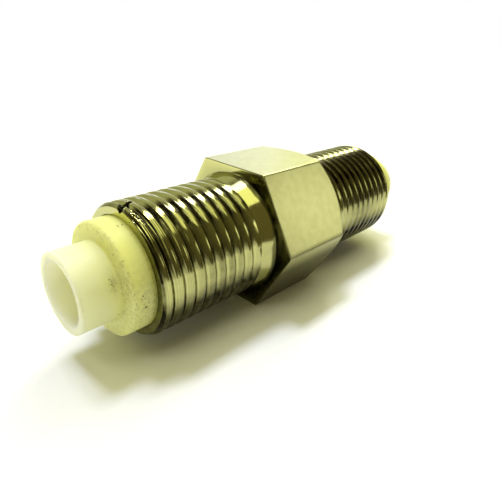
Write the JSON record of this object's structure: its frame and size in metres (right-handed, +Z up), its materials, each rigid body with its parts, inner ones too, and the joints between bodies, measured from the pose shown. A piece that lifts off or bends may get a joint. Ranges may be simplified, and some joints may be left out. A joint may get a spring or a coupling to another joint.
{
  "type": "coaxial adapter",
  "caption": "Straight coaxial adapter that joins two cables: a plated hexagon with a threaded barrel and a hollow white insulator nose at each end, and one contact running through.",
  "frame": {"origin": "on the hexagon's bottom flat, under the middle of the adapter", "axes": "+X along the adapter's axis towards its rear plug, +Z up out of the opposite flat"},
  "size_m": [0.0306, 0.0108, 0.0094],
  "materials": {
    "nickel_plated_brass": "bright nickel plate over turned brass, warm and a little dulled, dark in the thread's roots",
    "white_fluoropolymer": "turned, waxy white, slightly translucent, with a little grime at the rims",
    "gold_plated_brass": "thin bright gold plate"
  },
  "bodies": {
    "root": {"body": "nickel_plated_brass", "front_insulator": "white_fluoropolymer", "rear_insulator": "white_fluoropolymer", "centre_contact": "gold_plated_brass"}
  },
  "joints": []
}
